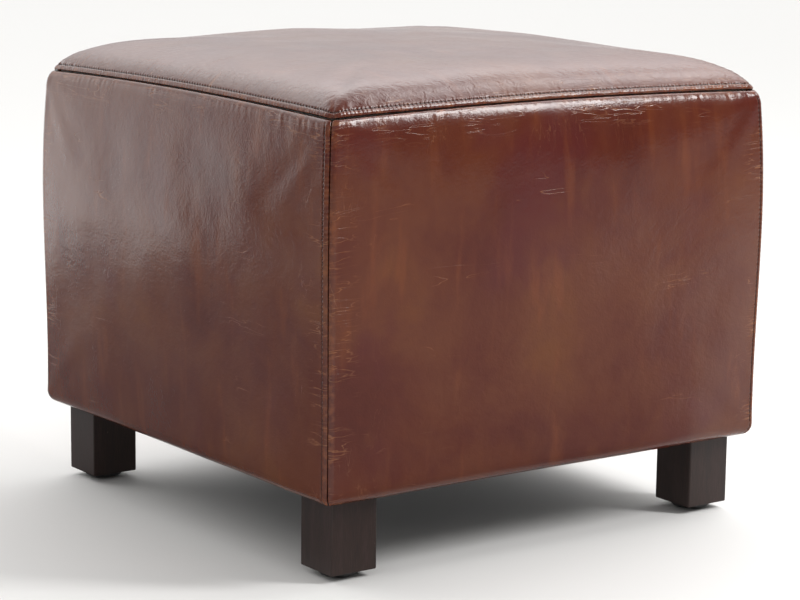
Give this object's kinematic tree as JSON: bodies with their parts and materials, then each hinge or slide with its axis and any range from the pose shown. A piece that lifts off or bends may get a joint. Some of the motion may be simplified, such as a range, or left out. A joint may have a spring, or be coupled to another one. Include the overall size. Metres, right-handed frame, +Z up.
{
  "type": "leather cube footstool",
  "caption": "Square upholstered footstool with a sewn brown leather cover, a softly crowned top and short square dark timber legs on round glides.",
  "frame": {"origin": "on the floor under the middle of the stool, at the level of the glides' flat faces", "axes": "+Z up, -Y towards the front, +X to the right as seen from the front"},
  "size_m": [0.45, 0.45, 0.411],
  "materials": {
    "brown_leather": "satin",
    "polyester_fibre": "matte",
    "upholstery_foam": "matte",
    "hessian": "matte",
    "jute_webbing": "matte",
    "dust_cover_cloth": "matte",
    "hardboard": "matte",
    "softwood": "matte",
    "stained_wood": "satin",
    "zinc_plated_steel": "satin",
    "glide_plastic": "satin"
  },
  "bodies": {
    "root": {"leather_top": "brown_leather", "leather_front": "brown_leather", "leather_right": "brown_leather", "leather_back": "brown_leather", "leather_left": "brown_leather", "crown_wadding": "polyester_fibre", "seat_foam": "upholstery_foam", "side_foam_front": "upholstery_foam", "side_foam_right": "upholstery_foam", "side_foam_back": "upholstery_foam", "side_foam_left": "upholstery_foam", "hessian": "hessian", "webbing_across_1": "jute_webbing", "webbing_across_2": "jute_webbing", "webbing_across_3": "jute_webbing", "webbing_along_1": "jute_webbing", "webbing_along_2": "jute_webbing", "webbing_along_3": "jute_webbing", "dust_cover": "dust_cover_cloth", "side_board_front": "hardboard", "side_board_right": "hardboard", "side_board_back": "hardboard", "side_board_left": "hardboard", "bottom_rail_front": "softwood", "bottom_rail_right": "softwood", "bottom_rail_back": "softwood", "bottom_rail_left": "softwood", "top_rail_front": "softwood", "top_rail_right": "softwood", "top_rail_back": "softwood", "top_rail_left": "softwood", "corner_post_front_left": "softwood", "corner_post_front_right": "softwood", "corner_post_back_right": "softwood", "corner_post_back_left": "softwood", "leg_front_left": "stained_wood", "leg_front_right": "stained_wood", "leg_back_right": "stained_wood", "leg_back_left": "stained_wood", "hanger_bolt_front_left": "zinc_plated_steel", "hanger_bolt_front_right": "zinc_plated_steel", "hanger_bolt_back_right": "zinc_plated_steel", "hanger_bolt_back_left": "zinc_plated_steel", "thread_insert_front_left": "zinc_plated_steel", "thread_insert_front_right": "zinc_plated_steel", "thread_insert_back_right": "zinc_plated_steel", "thread_insert_back_left": "zinc_plated_steel", "glide_pad_front_left": "glide_plastic", "glide_pad_front_right": "glide_plastic", "glide_pad_back_right": "glide_plastic", "glide_pad_back_left": "glide_plastic", "glide_nail_front_left": "zinc_plated_steel", "glide_nail_front_right": "zinc_plated_steel", "glide_nail_back_right": "zinc_plated_steel", "glide_nail_back_left": "zinc_plated_steel"}
  },
  "joints": []
}
